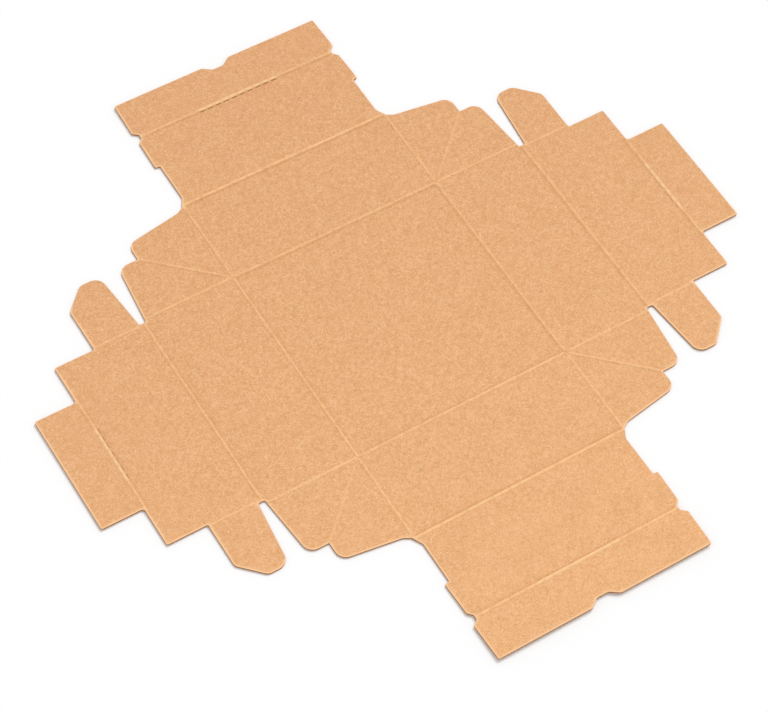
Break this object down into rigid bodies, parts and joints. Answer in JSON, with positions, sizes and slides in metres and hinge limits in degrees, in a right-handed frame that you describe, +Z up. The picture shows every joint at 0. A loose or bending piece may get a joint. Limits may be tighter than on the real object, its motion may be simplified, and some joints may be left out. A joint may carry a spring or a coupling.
{
  "type": "flattened cardboard box",
  "caption": "Flat die-cut card blank of a square self-locking tray, creased for double walls, with web corners, lock tabs, floor strips and finger notches.",
  "frame": {"origin": "middle of the square base panel, on the underside that it rests on", "axes": "+Z up out of the sheet, on the side where the creases stand as ridges; +Y along a plain arm that ends in a full-width strip with a finger notch; +X along an arm with a lock tab on each side"},
  "size_m": [0.264, 0.264, 0.0009],
  "materials": {
    "kraft_card": "uncoated brown kraft card with fine fibre fleck, ridged creases and darker knife-cut edges"
  },
  "bodies": {
    "root": {"box_blank": "kraft_card"}
  },
  "joints": []
}
